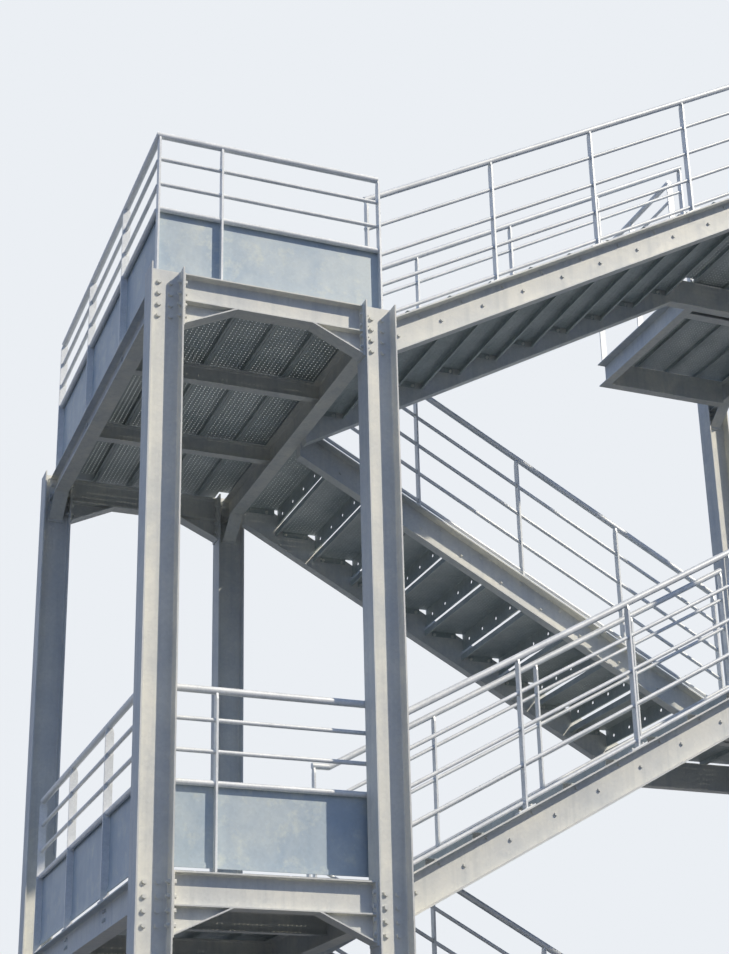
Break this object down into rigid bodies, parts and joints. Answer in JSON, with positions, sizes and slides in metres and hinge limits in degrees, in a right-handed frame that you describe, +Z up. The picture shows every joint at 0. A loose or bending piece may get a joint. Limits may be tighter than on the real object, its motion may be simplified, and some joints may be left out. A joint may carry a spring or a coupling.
{
  "type": "fire escape stair tower",
  "caption": "Open galvanised steel outdoor stair with folded flights between column framed landings, perforated treads, post and rail guards and sheet toe panels.",
  "frame": {"origin": "centre of the stair's footprint box, on the ground", "axes": "+X along the wall, towards the right landings; +Y towards the wall; +Z up"},
  "size_m": [6.1, 3.36, 8.064],
  "materials": {
    "galvanised_sections": "hot dip galvanised rolled steel, dull grey",
    "galvanised_treads": "hot dip galvanised folded steel sheet, dull grey",
    "galvanised_rails": "hot dip galvanised tube and flat bar, light grey",
    "galvanised_sheet": "galvanised steel sheet, pale blue grey with a soft spangle"
  },
  "bodies": {
    "root": {"front_left_column": "galvanised_sections", "front_inner_column": "galvanised_sections", "front_right_column": "galvanised_sections", "back_left_column": "galvanised_sections", "back_inner_column": "galvanised_sections", "back_right_column": "galvanised_sections", "landing_1_cross_beams": "galvanised_sections", "landing_1_floor_frame": "galvanised_sections", "landing_1_deck": "galvanised_treads", "landing_1_front_guard": "galvanised_rails", "landing_1_side_guard": "galvanised_rails", "landing_1_panels": "galvanised_sheet", "landing_3_cross_beams": "galvanised_sections", "landing_3_floor_frame": "galvanised_sections", "landing_3_deck": "galvanised_treads", "landing_3_front_guard": "galvanised_rails", "landing_3_side_guard": "galvanised_rails", "landing_3_panels": "galvanised_sheet", "landing_2_end_beam": "galvanised_sections", "landing_2_deck": "galvanised_treads", "landing_2_front_guard": "galvanised_rails", "landing_2_end_guard": "galvanised_rails", "landing_2_panels": "galvanised_sheet", "landing_4_end_beam": "galvanised_sections", "landing_4_trimmer_frame": "galvanised_sections", "landing_4_deck": "galvanised_treads", "landing_4_front_guard": "galvanised_rails", "landing_4_end_guard": "galvanised_rails", "landing_4_gap_guard": "galvanised_rails", "landing_4_panels": "galvanised_sheet", "flight_1_stringers": "galvanised_sections", "flight_1_treads": "galvanised_treads", "flight_1_guard": "galvanised_rails", "flight_2_stringers": "galvanised_sections", "flight_2_treads": "galvanised_treads", "flight_2_outer_guard": "galvanised_rails", "flight_2_inner_guard": "galvanised_rails", "flight_3_stringers": "galvanised_sections", "flight_3_treads": "galvanised_treads", "flight_3_guard": "galvanised_rails", "flight_4_stringers": "galvanised_sections", "flight_4_treads": "galvanised_treads", "flight_4_outer_guard": "galvanised_rails", "flight_4_inner_guard": "galvanised_rails"}
  },
  "joints": []
}
